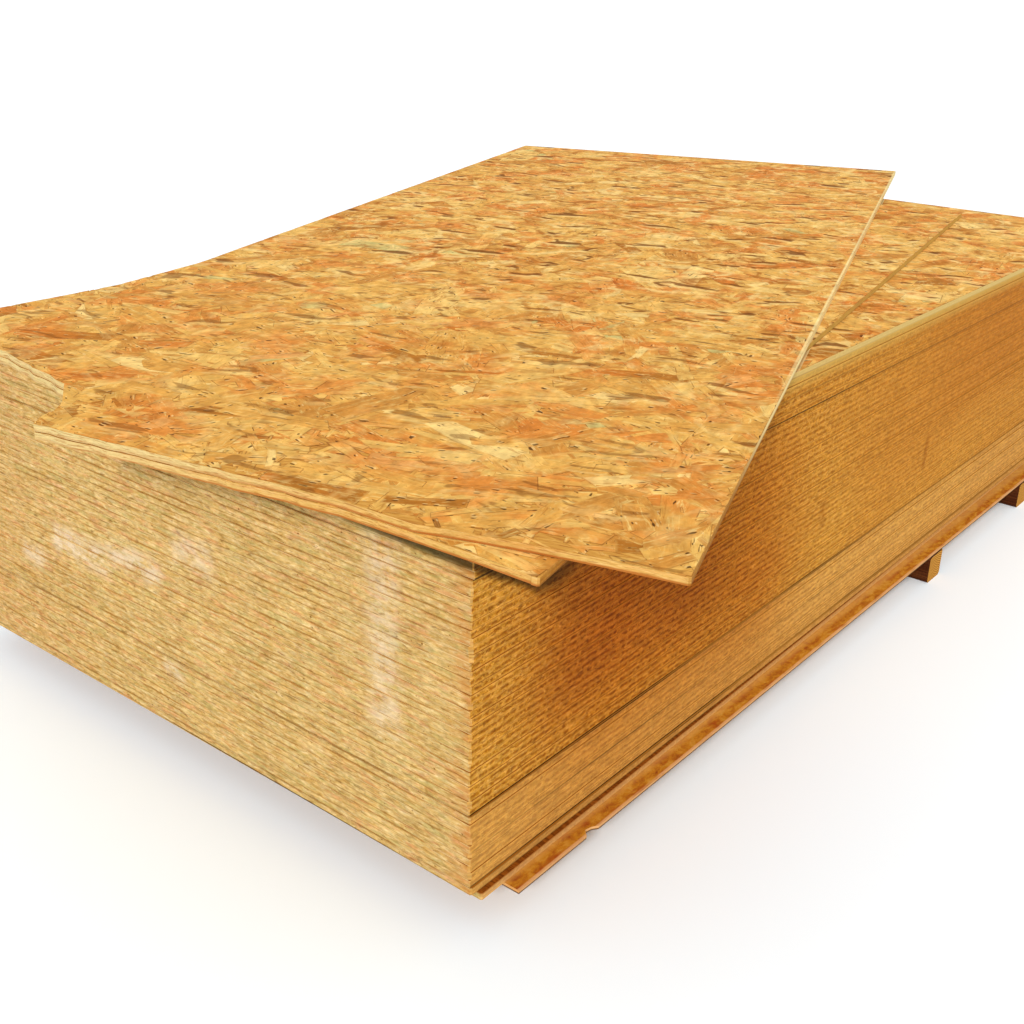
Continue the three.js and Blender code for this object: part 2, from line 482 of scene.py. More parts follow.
def shortSide(tree, at):
    look = shortLook
    y, z, across = at["y"], at["z"], at["across"]
    tone, height = streakedEdge(tree, y, z, at["within"], at["seed"])
    tone = mottle(tree, tone, y, z, look["mottleLayer"], look["mottle"])
    tone = mix(tree, band(tree, across, *look["farSpan"]), tone, look["far"], "MULTIPLY")
    onNear = towards(tree, at["facing"], 0)
    worn = grain(tree, y, z, look["wornLayer"], look["worn"])
    bruise = look["bruise"]
    atCorner = times(tree, band(tree, across, bruise["reach"], 0.0), onNear)
    bruised = times(tree, atCorner, band(tree, worn, *bruise["span"]), bruise["share"])
    tone = mix(tree, bruised, tone, bruise["tone"])
    for mark in look["chalk"]:
        share = times(tree, patch(tree, across, z, mark), onNear, band(tree, worn, *look["chalkSpan"]))
        tone = mix(tree, share, tone, look["chalkTone"])
    # painted shade under the lower loose sheet
    paintedShade = look["paintedShade"]
    above = minus(tree, z, plus(tree, paintedShade["line"], times(tree, across, paintedShade["slope"])))
    shadeShare = times(tree, band(tree, above, -paintedShade["depth"], 0.0), band(tree, across, *paintedShade["end"]))
    return mix(tree, times(tree, shadeShare, onNear, paintedShade["share"]), tone, paintedShade["tone"]), height


def longSide(tree, at, plain, isLast):
    look = longLook
    x, y, z, run = at["x"], at["y"], at["z"], at["run"]
    tone, height = endGrainEdge(tree, x, z, at["within"], at["seed"])
    tone = tint(tree, tone, grain(tree, x, z, y, look["cloud"]), look["dusk"], "MULTIPLY")
    plainer = band(tree, run, *look["plainSpan"], plain, max(plain, look["plainMost"]))
    tone = mix(tree, plainer, tone, look["lowPlain"] if plain else look["plain"])
    onNear = towards(tree, at["facing"], 1)
    # painted shade under the overhanging loose sheets
    for mark in look["shadeZones"]:
        tone = mix(tree, times(tree, patch(tree, run, z, mark), onNear), tone, mark["tone"], "MULTIPLY")
    farther = times(tree, band(tree, run, *look["fartherAlong"]), band(tree, z, *look["fartherUp"]))
    tone = mix(tree, farther, tone, look["farther"])
    tone = mottle(tree, tone, x, z, y, look["mottle"])
    for mark in look["scuffs"]:
        tone = mix(tree, times(tree, patch(tree, run, z, mark), onNear), tone, look["scuffTone"])
    if isLast:
        tone = tint(tree, tone, at["rise"], look["lastLift"])
    # painted shade under the overhanging corner of the loose sheets
    paintedShade = look["paintedShade"]
    line = calc(tree, "MAXIMUM", minus(tree, paintedShade["line"], times(tree, run, paintedShade["slope"])), paintedShade["lowest"])
    above = calc(tree, "DIVIDE", minus(tree, z, line), band(tree, run, *paintedShade["depth"]))
    shadeShare = times(tree, band(tree, above, *paintedShade["span"]), band(tree, run, *paintedShade["end"]))
    return mix(tree, times(tree, shadeShare, onNear), tone, paintedShade["tone"]), height


# One lift of boards. The joints under and over it are each given as how dark they are on the long
# sides and on the short ones.
def boardMaterial(name, base, count, joints, plain, isLast):
    material = newMaterial(name)
    tree = material.node_tree
    look = jointLook
    x, y, z = placeOf(tree)
    facing = normalOf(tree)
    run = minus(tree, x, pile["near"][0])
    across = minus(tree, y, pile["near"][1])
    over = minus(tree, z, base)
    rise = calc(tree, "DIVIDE", over, pile["pitch"])
    within = calc(tree, "FRACT", rise)
    seed = times(tree, calc(tree, "FLOOR", rise), pile["grainStep"])
    at = dict(x=x, y=y, z=z, run=run, across=across, rise=rise, within=within, seed=seed, facing=facing)
    shortTone, shortHeight = shortSide(tree, at)
    longTone, longHeight = longSide(tree, at, plain, isLast)
    onShort = along(tree, facing, 0)
    tone = mix(tree, onShort, longTone, shortTone)
    height = mixValue(tree, onShort, longHeight, shortHeight)

    middle = pile["thickness"] / pile["pitch"] / 2
    arris = band(tree, size(tree, minus(tree, within, middle)), *look["arris"])
    broken = grain(tree, x, y, seed, look["broken"])
    clean = mixValue(tree, onShort, band(tree, run, *look["cleanLong"]), look["cleanShort"])
    bruised = times(tree, arris, band(tree, broken, *look["jointSpan"]), clean)
    tone = mix(tree, bruised, tone, look["joint"])
    dusty = times(tree, arris, band(tree, broken, *look["dusty"]), onShort)
    tone = mix(tree, dusty, tone, look["dust"])
    fading = band(tree, grain(tree, x, y, base, look["fading"]), *look["fadingSpan"])
    fading = times(tree, fading, band(tree, run, *look["fadingAlong"]))
    fromTop = minus(tree, count * pile["pitch"] - pile["gap"], over)
    # a painted shade line along the joint under this lift and the one over it
    for away, (longShare, shortShare) in ((over, joints[0]), (fromTop, joints[1])):
        share = times(tree, mixValue(tree, onShort, longShare, shortShare), fading)
        tone = mix(tree, times(tree, band(tree, away, *look["seamSpan"]), share), tone, look["seam"])

    faceTone, faceHeight = pressedFace(tree, x, y, look["faceSeed"])
    inner = mix(tree, band(tree, broken, *look["innerSpan"]), look["dust"], look["gap"])
    faceTone = mix(tree, look["inner"], faceTone, inner)
    # the faces inside the joints near the long sides are painted dark as shade
    fromSide = calc(tree, "MINIMUM", across, minus(tree, pile["width"], across))
    underShade = mix(tree, band(tree, run, *look["underShadeAlong"]), look["underShade"], look["ledge"])
    faceTone = mix(tree, band(tree, fromSide, *look["underShadeSpan"]), faceTone, underShade)
    onFace = along(tree, facing, 2)
    tone = mix(tree, onFace, tone, faceTone)
    return finishSurface(material, tone, mixValue(tree, onFace, height, faceHeight), look["rough"])


def dress(node, material):
    node.data.materials.clear()
    node.data.materials.append(material)


def dressPile():
    number = 0
    start = pile["bottom"]
    for index, (count, plain) in enumerate(zip(pile["lifts"], pile["plain"])):
        isLast = index == len(pile["lifts"]) - 1
        joints = pile["joints"][index:index + 2]
        material = boardMaterial("boardLift%d" % (index + 1), start, count, joints, plain, isLast)
        for _ in range(count):
            number += 1
            dress(nodes["board_%02d" % number], material)
        start += count * pile["pitch"] + pile["liftStep"]


dressPile()
print("pile")


# The two sheets under the pile. The cover sheet is pale along its edge; where it comes out from under the
# boards its face and the top of its edges are painted dark as shade. The thin base sheet is blotched, worn
# pale along its rim, and painted with a line of shade along the bottom of its edges.
coverLook = dict(
    seed=2.0, edge="d6a468", edgeShare=0.6,
    # the top of its edges and its face are painted dark as the shade under the boards
    rim=dict(span=(7 * mm, 11 * mm), share=0.85, tone="8f4e12"),
    deepSpan=(0.4, 0.6), deep="6c3608", underShade="8f4e12", rough=0.85,
)
baseLook = dict(
    blots=dict(fine=(42.0, 70.0, 200.0), detail=4, rough=0.7, twist=0.4),
    tones=((0.28, "8a3a10"), (0.4, "a4601a"), (0.52, "b8781e"), (0.66, "c48c34"), (0.8, "cf9a50")),
    reds=dict(fine=(14.0, 40.0), detail=3, rough=0.6),
    redLayer=3.0,
    red=dict(span=(0.54, 0.64), share=0.6, tone="9a4212"),
    paler=dict(span=(15 * mm, 27 * mm), share=0.5, tone="d09a50"),
    rim=(4.5 * mm, 2 * mm),
    edge=(0.8, 0.6),
    patches=dict(fine=(18.0, 18.0, 300.0), detail=3),
    patchSpan=(0.35, 0.55, 0.4, 0.9),
    worn="d6a26c",
    # painted shade line along the bottom of the edges, where the sheet meets the floor
    underSpan=(3 * mm, 1.5 * mm, 0.0, 0.9),
    under="4c3426",
    rough=0.85,
)


def coverMaterial():
    material = newMaterial("coverBoard")
    tree = material.node_tree
    look = coverLook
    x, y, z = placeOf(tree)
    facing = normalOf(tree)
    over = minus(tree, z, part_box("cover_sheet")[0].z)
    within = calc(tree, "DIVIDE", over, pile["pitch"])
    longTone, longHeight = endGrainEdge(tree, x, z, within, look["seed"])
    longTone = mix(tree, look["edgeShare"], longTone, look["edge"])
    shortTone, shortHeight = streakedEdge(tree, y, z, within, look["seed"])
    faceTone, faceHeight = pressedFace(tree, x, y, look["seed"])
    # the face, and below the top of the edges, painted dark as the shade under the boards
    faceTone = mix(tree, band(tree, faceHeight, *look["deepSpan"]), look["deep"], look["underShade"])
    ends = tint(tree, shortTone, over, look["rim"]), shortHeight
    sides = tint(tree, longTone, over, look["rim"]), longHeight
    tone, height = everySide(tree, facing, sides, ends, (faceTone, faceHeight))
    return finishSurface(material, tone, height, look["rough"])


def stainedMaterial():
    material = newMaterial("stainedBoard")
    tree = material.node_tree
    look = baseLook
    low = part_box("base_sheet")[0]
    x, y, z = placeOf(tree)
    facing = normalOf(tree)
    blots = grain(tree, x, y, z, look["blots"])
    tone = ramp(tree, blots, look["tones"])
    tone = tint(tree, tone, grain(tree, x, y, look["redLayer"], look["reds"]), look["red"])
    inwards = minus(tree, y, low.y)
    tone = tint(tree, tone, inwards, look["paler"])
    edge = band(tree, size(tree, facing[2]), *look["edge"])
    outer = calc(tree, "MAXIMUM", band(tree, inwards, *look["rim"]), edge)
    patchy = band(tree, grain(tree, x, y, z, look["patches"]), *look["patchSpan"])
    tone = mix(tree, times(tree, outer, patchy), tone, look["worn"])
    # painted shade line along the bottom of the edges
    under = times(tree, edge, band(tree, minus(tree, z, low.z), *look["underSpan"]))
    tone = mix(tree, under, tone, look["under"])
    return finishSurface(material, tone, blots, look["rough"])


dress(nodes["cover_sheet"], coverMaterial())
dress(nodes["base_sheet"], stainedMaterial())
print("cover sheet and base sheet")


# Bearers: rough sawn, with growth rings on the ends and long grain on the sides.
timberLook = dict(
    count=4,
    heartStep=-9 * mm, heartStart=18 * mm,  # off the middle of a bearer, by its number
    heartHeights=(85 * mm, -25 * mm),  # of even and odd bearers
    sway=dict(fine=(9.0, 1.2, 9.0)),
    ringSway=22 * mm, ringFine=1500.0,
    rings=((0.3, "96601c"), (0.5, "b87828"), (0.7, "cc9440")),
    fibre=dict(fine=(260.0, 7.0, 260.0), detail=4, rough=0.65, twist=0.5),
    grain=((0.3, "2e1206"), (0.5, "46200c"), (0.7, "6a3a1a")),
    figure=dict(span=(-0.2, 1.0), share=0.4, tone="3a1a0a"),
    sawSway=12 * mm, sawFine=900.0, sawRelief=0.25, ringRelief=0.3, rough=0.85,
)


def timberMaterial(name, centre):
    material = newMaterial(name)
    tree = material.node_tree
    look = timberLook
    x, y, z = placeOf(tree)
    sway = grain(tree, x, y, z, look["sway"])
    offX, offZ = minus(tree, x, centre[0]), minus(tree, z, centre[1])
    away = calc(tree, "SQRT", plus(tree, times(tree, offX, offX), times(tree, offZ, offZ)))
    wander = plus(tree, away, times(tree, sway, look["ringSway"]))
    ring = calc(tree, "SINE", times(tree, wander, look["ringFine"]))
    rings = ramp(tree, band(tree, ring, -1.0, 1.0), look["rings"])
    fibre = grain(tree, x, y, z, look["fibre"])
    sides = tint(tree, ramp(tree, fibre, look["grain"]), ring, look["figure"])
    onEnd = along(tree, normalOf(tree), 1)
    sawn = plus(tree, y, times(tree, sway, look["sawSway"]))
    saw = calc(tree, "SINE", times(tree, sawn, look["sawFine"]))
    sideHeight = plus(tree, fibre, times(tree, saw, look["sawRelief"]))
    endHeight = plus(tree, fibre, times(tree, ring, look["ringRelief"]))
    tone = mix(tree, onEnd, sides, rings)
    return finishSurface(material, tone, mixValue(tree, onEnd, sideHeight, endHeight), look["rough"])


for number in range(1, timberLook["count"] + 1):
    low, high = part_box("bearer_%d" % number)
    off = timberLook["heartStart"] + timberLook["heartStep"] * number
    heart = ((low.x + high.x) / 2 + off, timberLook["heartHeights"][number % 2])
    dress(nodes["bearer_%d" % number], timberMaterial("bearerTimber%d" % number, heart))
print("bearers")


# The sheets whose faces show: the two loose ones and the pile's top board. Each is made again a
# little thinner, and strands lie pressed into its face up to the full thickness.
faceDepth = 1.05 * mm
sheets = dict(
    upper=dict(
        node="loose_sheet_upper", shift=(12.9 * mm, -283.7 * mm), size=(3050 * mm, 1220 * mm), turn=19.7,
        bottom=635.0 * mm, sags=True, seed=4, cover=None, edge="fae2a0",
    ),
    lower=dict(
        node="loose_sheet_lower", shift=(-82.7 * mm, -160.3 * mm), size=(2500 * mm, 1250 * mm), turn=11.4,
        bottom=623.5 * mm, sags=True, seed=11, cover="upper", edge="cba654",
    ),
    top=dict(
        node="board_48", shift=(0, 0), size=(2500 * mm, 1250 * mm), turn=0.0,
        bottom=612.0 * mm, sags=False, seed=23, cover="lower", edge="ceb06a",
    ),
)
sag = dict(depth=9 * mm, reach=275 * mm)


# Along, across and height over a sheet's bottom, from points of the whole object.
def localPlace(sheet, points):
    turn = math.radians(sheet["turn"])
    x = points[:, 0] - pile["near"][0] - sheet["shift"][0]
    y = points[:, 1] - pile["near"][1] - sheet["shift"][1]
    sunk = 0
    if sheet["sags"]:
        pastSide = np.maximum(0, pile["near"][1] - points[:, 1])
        pastEnd = np.maximum(0, pile["near"][0] - points[:, 0])
        sunk = sag["depth"] * (pastSide ** 2 + pastEnd ** 2) / sag["reach"] ** 2
    run = x * math.cos(turn) + y * math.sin(turn)
    across = y * math.cos(turn) - x * math.sin(turn)
    return np.stack([run, across, points[:, 2] - sheet["bottom"] + sunk], 1)


def looksUp(work):
    return [face for face in work.faces if face.normal.z > 0.5]


def copyOf(node):
    work = bmesh.new()
    work.from_mesh(nodes[node].data)
    bmesh.ops.remove_doubles(work, verts=work.verts, dist=0.01 * mm)
    return work


def linked(name, mesh):
    piece = bpy.data.objects.new(name, mesh)
    bpy.context.scene.collection.objects.link(piece)
    return piece


def meshPiece(name, work, material=None):
    mesh = bpy.data.meshes.new(name)
    work.to_mesh(mesh)
    work.free()
    if material:
        mesh.materials.append(material)
    return linked(name, mesh)


def pointsOf(mesh):
    flat = np.zeros(len(mesh.vertices) * 3, np.float32)
    mesh.vertices.foreach_get("co", flat)
    return flat.reshape(-1, 3)


# The edges of those sheets: golden to pale and threaded with dark strands on the short side, a flat
# tone of the sheet's own on the long one, both darker along the bottom.
sheetLook = dict(
    shortStretch=2.2, shortWithin=0.5,
    palerSpan=(0.3, 0.8),
    shortShare=0.45, shortNear="dca048", shortPale="dcc88c",
    threads=dict(fine=(42.0, 420.0), detail=3, rough=0.6, twist=0.6),
    thread=dict(span=(0.48, 0.36), share=0.6, tone="94581c"),
    shortLow=(4 * mm, 1.5 * mm), shortLowShares=(0.85, 0.3), shortUnder="a0561a",
    longNearSpan=(0.2, 0.55), longNear="a86c24",
    longShare=(0.3, 1.2, 0.72, 0.9),
    longLow=(3.5 * mm, 1.5 * mm), longLowAlong=(0.3, 1.2, 0.8, 0.2), longUnder="8a5418",
    rough=0.7,
)


def sheetMaterial(name, sheet):
    material = newMaterial(name)
    tree = material.node_tree
    look = sheetLook
    place = put(tree, "ShaderNodeAttribute", attribute_name="sheetPlace").outputs["Vector"]
    run, across, up = split(tree, place)
    normal = put(tree, "ShaderNodeNewGeometry").outputs["Normal"]
    turned = put(tree, "ShaderNodeVectorRotate", normal, rotation_type="Z_AXIS")
    turned.inputs["Angle"].default_value = -math.radians(sheet["turn"])
    facing = split(tree, turned.outputs[0])
    seed = float(sheet["seed"])

    stretched = times(tree, up, look["shortStretch"])
    shortTone, shortHeight = streakedEdge(tree, across, stretched, look["shortWithin"], seed)
    paler = band(tree, across, *look["palerSpan"])
    edgeTone = mix(tree, paler, look["shortNear"], look["shortPale"])
    shortTone = mix(tree, look["shortShare"], shortTone, edgeTone)
    shortTone = tint(tree, shortTone, grain(tree, across, up, seed, look["threads"]), look["thread"])
    lowShare = mixValue(tree, paler, *look["shortLowShares"])
    lowDark = times(tree, band(tree, up, *look["shortLow"]), lowShare)
    shortTone = mix(tree, lowDark, shortTone, look["shortUnder"])

    longTone, longHeight = endGrainEdge(tree, run, up, calc(tree, "DIVIDE", up, pile["pitch"]), seed)
    edgeTone = mix(tree, band(tree, run, *look["longNearSpan"]), look["longNear"], sheet["edge"])
    longTone = mix(tree, band(tree, run, *look["longShare"]), longTone, edgeTone)
    lowDark = times(tree, band(tree, up, *look["longLow"]), band(tree, run, *look["longLowAlong"]))
    longTone = mix(tree, lowDark, longTone, look["longUnder"])

    faces = pressedFace(tree, run, across, seed)
    tone, height = everySide(tree, facing, (longTone, longHeight), (shortTone, shortHeight), faces)
    return finishSurface(material, tone, height, look["rough"])


def thinnedSheet(name, sheet):
    piece = meshPiece(name, copyOf(sheet["node"]), sheetMaterial(name + "Board", sheet))
    mesh = piece.data
    points = pointsOf(mesh)
    local = localPlace(sheet, points)
    points[local[:, 2] > pile["thickness"] / 2, 2] -= faceDepth
    mesh.vertices.foreach_set("co", points.ravel())
    attribute = mesh.attributes.new("sheetPlace", "FLOAT_VECTOR", "POINT")
    attribute.data.foreach_set("vector", local.astype(np.float32).ravel())
    mesh.update()
    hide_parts(sheet["node"])
    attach(piece, "root")
    return piece


# The tree that presses strands into a face: scattered and turned mostly across the sheet, with
# torn ends, laid on the face and held back to its outline.
strandShape = dict(
    perSquareMetre=3000.0,
    spread=0.65,
    stray=0.38,
    strayTurn=1.6,
    shortest=10 * mm,
    longest=190 * mm,
    crowding=2.1,  # how many more short ones than long ones
    fartherStart=1.3, fartherStep=0.32,  # strands seem larger by this much a metre along
    slim=0.09,
    broad=0.42,
    broadest=52 * mm,
    large=45 * mm,
    largeTone=0.055,
    thickness=0.35 * mm,
    relief=0.62 * mm,
    slant=0.12 * mm, slantSeed=3.7,
    ragFine=(5.7, 3.2, 1.9),
    ragged=(0.5, 1.2),
    covered=90 * mm,  # how far inside the sheet over it a face stays bare
    rayFrom=2.0, rayLength=4.0,
)
strandInputs = (
    ("Face", "NodeSocketGeometry"), ("Per Square Metre", "NodeSocketFloat"), ("Seed", "NodeSocketInt"),
    ("Turn", "NodeSocketFloat"), ("Spread", "NodeSocketFloat"), ("Stray Share", "NodeSocketFloat"),
    ("Shortest", "NodeSocketFloat"), ("Longest", "NodeSocketFloat"), ("Slim", "NodeSocketFloat"),
    ("Broad", "NodeSocketFloat"), ("Thickness", "NodeSocketFloat"), ("Relief", "NodeSocketFloat"),
    ("Cover Near", "NodeSocketVector"), ("Cover Turn", "NodeSocketFloat"),
    ("Cover Size", "NodeSocketVector"), ("Material", "NodeSocketMaterial"),
)


def strandTree():
    tree = bpy.data.node_groups.new("pressedStrands", "GeometryNodeTree")
    for name, kind in strandInputs:
        tree.interface.new_socket(name, in_out="INPUT", socket_type=kind)
    tree.interface.new_socket("Strands", in_out="OUTPUT", socket_type="NodeSocketGeometry")
    given = put(tree, "NodeGroupInput").outputs
    shape = strandShape

    def named(kind, links, **settings):
        node = put(tree, kind, **settings)
        for name, value in links.items():
            join(tree, value, node.inputs[name])
        return node

    def chance(low, high, offset):
        node = put(tree, "FunctionNodeRandomValue", data_type="FLOAT")
        for index, value in ((2, low), (3, high), (8, plus(tree, given["Seed"], float(offset)))):
            join(tree, value, node.inputs[index])
        return node.outputs[1]

    def keep(geometry, name, value, kind="FLOAT"):
        links = {"Geometry": geometry, "Name": name, "Value": value}
        return named("GeometryNodeStoreNamedAttribute", links, data_type=kind, domain="POINT").outputs[0]

    def recall(name, kind="FLOAT"):
        return named("GeometryNodeInputNamedAttribute", {"Name": name}, data_type=kind).outputs[0]

    def between(share, low, high):
        return plus(tree, low, times(tree, share, minus(tree, high, low)))

    def vectorMinus(first, second):
        return put(tree, "ShaderNodeVectorMath", first, second, operation="SUBTRACT").outputs[0]

    def turnedBy(vector, angle):
        node = put(tree, "ShaderNodeVectorRotate", vector, rotation_type="Z_AXIS")
        join(tree, angle, node.inputs["Angle"])
        return node.outputs[0]

    scatter = named("GeometryNodeDistributePointsOnFaces", {
        "Mesh": given["Face"], "Density": given["Per Square Metre"], "Seed": given["Seed"]}).outputs[0]
    # what another sheet covers stays bare
    position = put(tree, "GeometryNodeInputPosition").outputs[0]
    backwards = times(tree, given["Cover Turn"], -1.0)
    coverPlace = split(tree, turnedBy(vectorMinus(position, given["Cover Near"]), backwards))
    coverSize = split(tree, given["Cover Size"])
    inside = [calc(tree, "GREATER_THAN", coverPlace[axis], 0.0) for axis in (0, 1)]
    inside += [calc(tree, "LESS_THAN", coverPlace[axis], coverSize[axis]) for axis in (0, 1)]
    bared = {"Geometry": scatter, "Selection": times(tree, *inside)}
    points = named("GeometryNodeDeleteGeometry", bared, domain="POINT").outputs[0]

    # size, turn, tone and height of each strand
    share = calc(tree, "POWER", chance(0.0, 1.0, 1), shape["crowding"])
    farther = plus(tree, shape["fartherStart"], times(tree, split(tree, position)[0], shape["fartherStep"]))
    length = times(tree, between(share, given["Shortest"], given["Longest"]), farther)
    width = times(tree, length, between(chance(0.0, 1.0, 2), given["Slim"], given["Broad"]))
    width = calc(tree, "MINIMUM", width, times(tree, farther, shape["broadest"]))
    lean = times(tree, plus(tree, chance(-1.0, 1.0, 3), chance(-1.0, 1.0, 4)), given["Spread"])
    strays = calc(tree, "LESS_THAN", chance(0.0, 1.0, 5), times(tree, given["Stray Share"], farther))
    astray = times(tree, strays, chance(-shape["strayTurn"], shape["strayTurn"], 6))
    large = calc(tree, "GREATER_THAN", length, shape["large"])
    tone = between(chance(0.0, 1.0, 8), times(tree, large, shape["largeTone"]), 1.0)
    points = keep(points, "strandTurn", plus(tree, given["Turn"], plus(tree, lean, astray)))
    own = chance(0.0, 100.0, 7)
    points = keep(points, "strandSize", point(tree, length, width, own), "FLOAT_VECTOR")
    points = keep(points, "strandTone", tone)
    points = keep(points, "strandRise", times(tree, chance(0.0, 1.0, 9), given["Relief"]))

    length, width, own = split(tree, recall("strandSize", "FLOAT_VECTOR"))
    both = put(tree, "GeometryNodeJoinGeometry")
    for joints, chosen in ((3, large), (2, minus(tree, 1.0, large))):
        flake = named("GeometryNodeMeshCube", {
            "Size": (1, 1, 1), "Vertices X": joints, "Vertices Y": 2, "Vertices Z": 2}).outputs[0]
        local = put(tree, "GeometryNodeInputPosition").outputs[0]
        laid = named("GeometryNodeInstanceOnPoints", {
            "Points": points, "Selection": chosen,
            "Instance": keep(flake, "strandPlace", local, "FLOAT_VECTOR"),
            "Rotation": point(tree, 0.0, 0.0, recall("strandTurn")),
            "Scale": point(tree, length, width, 0.0)}).outputs[0]
        tree.links.new(laid, both.inputs[0])
    laid = put(tree, "GeometryNodeRealizeInstances", both.outputs[0]).outputs[0]

    # torn ends and crooked sides
    spot = split(tree, recall("strandPlace", "FLOAT_VECTOR"))
    rag = put(tree, "ShaderNodeTexNoise")
    ragPlace = [times(tree, value, fine) for value, fine in zip((spot[0], spot[1], own), shape["ragFine"])]
    join(tree, point(tree, *ragPlace), rag.inputs["Vector"])
    rag.inputs["Scale"].default_value = 1.0
    off = split(tree, vectorMinus(rag.outputs["Color"], (0.5, 0.5, 0.5)))
    shoved = [
        times(tree, away, reach, extent)
        for away, reach, extent in zip(off, shape["ragged"], (length, width))]
    shove = turnedBy(point(tree, *shoved), recall("strandTurn"))
    torn = named("GeometryNodeSetPosition", {"Geometry": laid, "Offset": shove}).outputs[0]

    # down onto the face, and back to its outline
    here = split(tree, put(tree, "GeometryNodeInputPosition").outputs[0])
    ray = named("GeometryNodeRaycast", {
        "Target Geometry": given["Face"],
        "Source Position": point(tree, here[0], here[1], shape["rayFrom"]),
        "Ray Direction": (0, 0, -1), "Ray Length": shape["rayLength"]})
    nearest = put(tree, "GeometryNodeProximity", given["Face"], target_element="FACES")
    landing = named("GeometryNodeSwitch", {
        "Switch": ray.outputs["Is Hit"], "False": nearest.outputs["Position"],
        "True": ray.outputs["Hit Position"]}, input_type="VECTOR")
    # each lies a little aslant, so that no two tops share a plane
    slant = minus(tree, calc(tree, "FRACT", times(tree, own, shape["slantSeed"])), 0.5)
    slant = times(tree, slant, spot[0], shape["slant"])
    rise = plus(tree, recall("strandRise"), times(tree, plus(tree, spot[2], 0.5), given["Thickness"]))
    pressed = named("GeometryNodeSetPosition", {
        "Geometry": torn, "Position": landing.outputs[0],
        "Offset": point(tree, 0.0, 0.0, plus(tree, rise, slant))}).outputs[0]
    whole = put(tree, "GeometryNodeRealizeInstances", pressed).outputs[0]
    finish = named("GeometryNodeSetMaterial", {"Geometry": whole, "Material": given["Material"]})
    put(tree, "NodeGroupOutput", finish.outputs[0])
    return tree


strandLook = dict(
    tones=(
        (0.0, "50280a"), (0.018, "7e4812"), (0.045, "ac6c22"), (0.08, "c6883a"), (0.2, "d49a46"),
        (0.42, "dba650"), (0.68, "e0af5a"), (0.86, "e5b966"), (0.95, "ebc577"), (0.985, "c4b068"),
    ),
    common="daa552",
    insideSpan=(0.0, 4 * mm, 0.45, 1.0),
    # an orange drift over strands and between them
    drift=dict(fine=(8.0, 8.0), detail=3, rough=0.6),
    ownSeed=7.31, ownShare=0.2,
    driftSpan=(0.46, 0.66), driftShares=(0.66, 0.78), orange="d2762a",
    # fibres, knots, shadow lines at the sides, specks with a glint beside them
    fibres=dict(fine=(20.0, 120.0), detail=5, rough=0.75, twist=0.8),
    fibre=dict(span=(0.48, 0.28), share=0.8, tone="a8661e"),
    cream=dict(span=(0.52, 0.74), share=0.85, tone="e9ca7a"),
    knots=dict(fine=(16.0, 34.0), shift=31.0, detail=1),
    knot=dict(span=(0.74, 0.84), share=0.7, tone="94420f"),
    breaks=dict(fine=(30.0, 1.0), detail=1),
    breakSpan=(0.46, 0.62),
    rimSpan=(2.0 * mm, 0.4 * mm), rimShare=0.65, rim="80480f",
    specks=dict(fine=(55.0, 150.0), shift=57.0, detail=1),
    speckPair=(
        (3.5 * mm, dict(span=(0.68, 0.74), share=0.5, tone="eccb88")),
        (0.0, dict(span=(0.68, 0.74), share=0.85, tone="3c1c02")),
    ),
    # what the press and the weather did to the whole face: darker and paler patches, dark spots with a
    # painted highlight beside each, mottled
    farSpan=(-1.25, -0.1),
    wear=dict(fine=(13.0, 13.0), detail=4, rough=0.66, twist=1.2), wearLayer=3.0,
    wears=(
        dict(span=(0.53, 0.67), shares=(0.24, 0.8), tone="a45e14"),
        dict(span=(0.48, 0.34), shares=(0.26, 0.8), tone="ebc97e"),
    ),
    spots=dict(fine=(27.0, 11.0), twist=0.7), spotLayer=9.0, spotSpan=(0.62, 0.67),
    # each dark spot has a painted highlight beside it
    spotAndHighlight=(
        (50 / 3 * mm, dict(shares=(0.3, 0.5), tone="ebc97e")),
        (0.0, dict(shares=(0.528, 0.88), tone="74400c")),
    ),
    # a strip of the upper sheet's face along its long edge is made pale, so that edge reads wider
    paleStripOuter=(5.5 * mm, 3.5 * mm), paleStripInner=(-1 * mm, -0.2 * mm),
    paleStripFar=(-0.95, -0.35, 0.0, 0.8), paleStrip="e8cf90",
    mottles=(
        (60.0, dict(fine=(60.0, 85.0), rough=0.6, strength=0.09)),
        (24.0, dict(fine=(24.0, 34.0), rough=0.6, strength=0.11)),
    ),
    rough=0.7, bump=0.35, bumpDepth=0.5 * mm, gloss=0.04,
)


